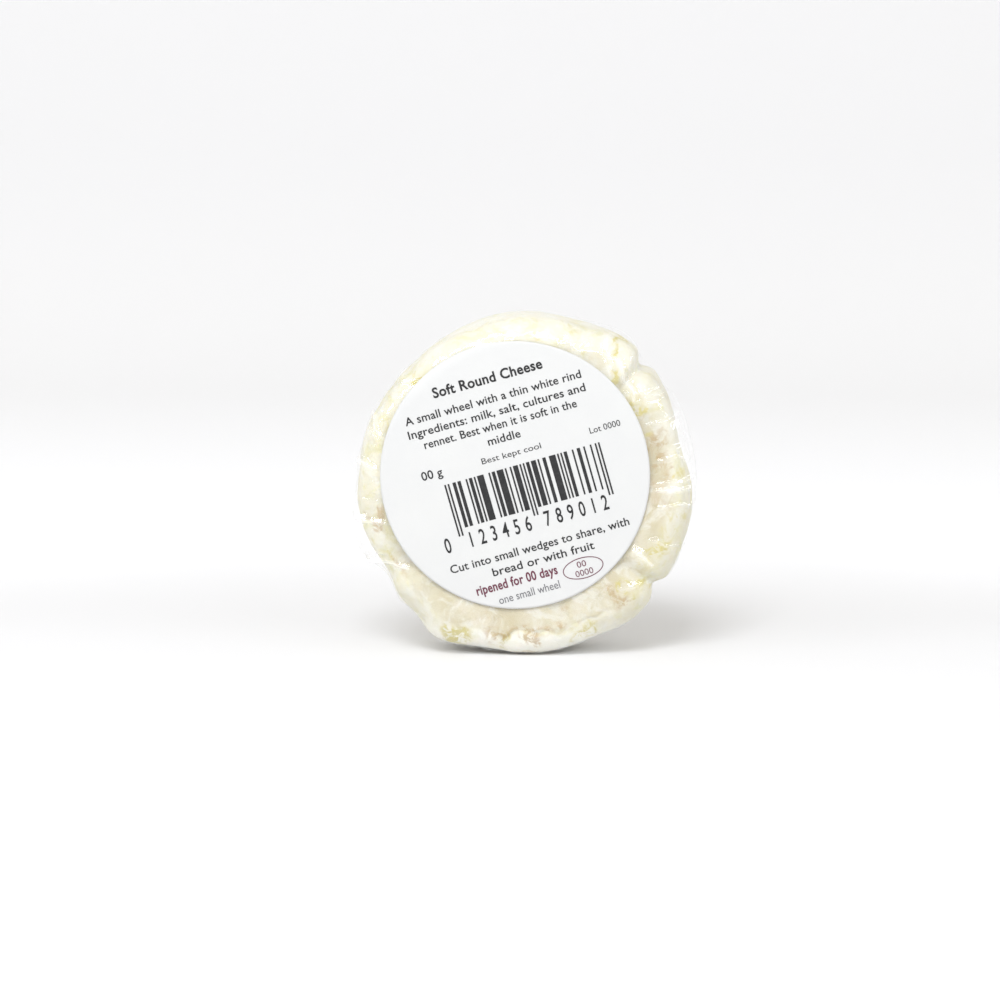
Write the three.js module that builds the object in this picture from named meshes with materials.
// A small soft-ripened cheese wheel, wrapped in clear film and closed with a round paper label.
// It stands on its rim: the wheel's axis runs along Y, the label faces -Y and +Z is up.
// Millimetres. The origin is the middle of the footprint.
import * as THREE from 'three';

// The cheese, one piece with its rind.
const CHEESE_RADIUS = 26.4;
const CHEESE_THICKNESS = 16;
const EDGE_ROUNDING = 4.5;
const RIM_BULGE = 0.25; // how far the middle of the rim swells past its two edges
const SLUMP = 0.45; // how far the soft rim has flattened under its own weight

// The film: really 0.03 mm thick and touching the rind, here a wall that can be a solid.
const FILM_GAP = 0.3;
const FILM_THICKNESS = 0.4;
const FILM_OPENING_RADIUS = 15; // the gathered edge of the sheet stops here, under the label

// The label.
const LABEL_RADIUS = 21.35;
const LABEL_THICKNESS = 0.25;
const LABEL_GAP = 0.3;
const LABEL_ASIDE = -1.3; // it is stuck on a little left of the wheel's middle
const LABEL_ABOVE = 2.1; // and a little above it

// Where the hand-made wheel is not round: [degrees round the rim from +X towards +Z,
// how far it swells (or sinks, if negative), how many degrees wide the swelling is].
const UNEVENNESS = [
  [56, 1.3, 8],
  [85, 0.2, 12],
  [131, -0.9, 20],
  [174, -0.4, 10],
  [199, 0.6, 8],
  [241, 1.3, 8],
  [310, 0.7, 10],
];

const TURNS = 72; // facets round the wheel
const ROUNDING_STEPS = 4; // facets round each edge
const RIM_STEPS = 4; // facets across the rim
const LABEL_TURNS = 60;

const FILM_OUTSIDE = FILM_GAP + FILM_THICKNESS;

/** Distance that the rim stands out of a true circle: a sum of smooth bell-shaped swellings. */
function unevenness(angle) {
  let out = 0;
  for (const [degrees, height, width] of UNEVENNESS) {
    const away = angle - THREE.MathUtils.degToRad(degrees);
    const nearest = Math.atan2(Math.sin(away), Math.cos(away));
    const widths = nearest / THREE.MathUtils.degToRad(width);
    out += height * Math.exp((-widths * widths) / 2);
  }
  return out;
}

/**
 * Half section of the wheel grown outwards by grow: from the middle of the back face, over the
 * rim, to endRadius on the front face. Each point is its radius, its height along the axis and
 * the level that this surface rests at, below the axis.
 */
function halfSection(grow, endRadius = 0) {
  const faceRadius = CHEESE_RADIUS - RIM_BULGE - EDGE_ROUNDING;
  const straight = CHEESE_THICKNESS / 2 - EDGE_ROUNDING;
  const faceHeight = CHEESE_THICKNESS / 2 + grow;
  const rim = [];
  for (let step = 1; step < RIM_STEPS; step += 1) {
    const across = 1 - (2 * step) / RIM_STEPS;
    const radius = CHEESE_RADIUS + grow - RIM_BULGE * across * across;
    rim.push(new THREE.Vector2(radius, straight * across));
  }
  const backEdge = new THREE.Path();
  backEdge.absarc(faceRadius, straight, EDGE_ROUNDING + grow, Math.PI / 2, 0, true);
  const frontEdge = new THREE.Path();
  frontEdge.absarc(faceRadius, -straight, EDGE_ROUNDING + grow, 0, -Math.PI / 2, true);
  const outline = [
    new THREE.Vector2(0, faceHeight),
    ...backEdge.getPoints(ROUNDING_STEPS),
    ...rim,
    ...frontEdge.getPoints(ROUNDING_STEPS),
    new THREE.Vector2(endRadius, -faceHeight),
  ];
  const rest = SLUMP - CHEESE_RADIUS - grow;
  return outline.map((point) => new THREE.Vector3(point.x, point.y, rest));
}

/**
 * Turns a section round the axis. Each point then moves outwards where the wheel is uneven, in
 * proportion to its radius, and up to its resting level where it would hang below that.
 */
function turned(section) {
  const geometry = new THREE.LatheGeometry(section, TURNS);
  const position = geometry.getAttribute('position');
  for (let i = 0; i < position.count; i += 1) {
    const x = position.getX(i);
    const z = position.getZ(i);
    const rest = section[i % section.length].z;
    const swell = 1 + unevenness(Math.atan2(z, x)) / CHEESE_RADIUS;
    position.setX(i, x * swell);
    position.setZ(i, Math.max(z * swell, rest));
  }
  return geometry;
}

/** One named sub-part with its own material. */
function piece(name, geometry, finish) {
  const mesh = new THREE.Mesh(geometry, new THREE.MeshStandardMaterial(finish));
  mesh.name = name;
  return mesh;
}

function cheese() {
  const geometry = turned(halfSection(0).reverse());
  return piece('cheese', geometry, { color: 0xf3ecd0, roughness: 0.85, metalness: 0 });
}

/** One sheet folded round the wheel: its outer and inner walls meet at the opening. */
function filmWrap() {
  const outside = halfSection(FILM_OUTSIDE, FILM_OPENING_RADIUS).reverse();
  const inside = halfSection(FILM_GAP, FILM_OPENING_RADIUS);
  const walls = [...inside, ...outside];
  const clear = { color: 0xf7faf7, roughness: 0.08, metalness: 0, opacity: 0.25, transparent: true };
  return piece('film_wrap', turned(walls), clear);
}

/** A flat disc against the film's front, off the wheel's middle. */
function paperLabel() {
  const geometry = new THREE.CylinderGeometry(
    LABEL_RADIUS, LABEL_RADIUS, LABEL_THICKNESS, LABEL_TURNS,
  );
  const label = piece('paper_label', geometry, { color: 0xf8f8f8, roughness: 0.6, metalness: 0 });
  const filmFront = -CHEESE_THICKNESS / 2 - FILM_OUTSIDE;
  label.position.set(LABEL_ASIDE, filmFront - LABEL_GAP - LABEL_THICKNESS / 2, LABEL_ABOVE);
  return label;
}

const wheel = new THREE.Group();
wheel.add(cheese(), filmWrap(), paperLabel());

// The wheel stands on the ground, with its footprint round the origin.
const bounds = new THREE.Box3().setFromObject(wheel);
const middle = bounds.getCenter(new THREE.Vector3());
wheel.position.set(-middle.x, -middle.y, -bounds.min.z);

export default wheel;
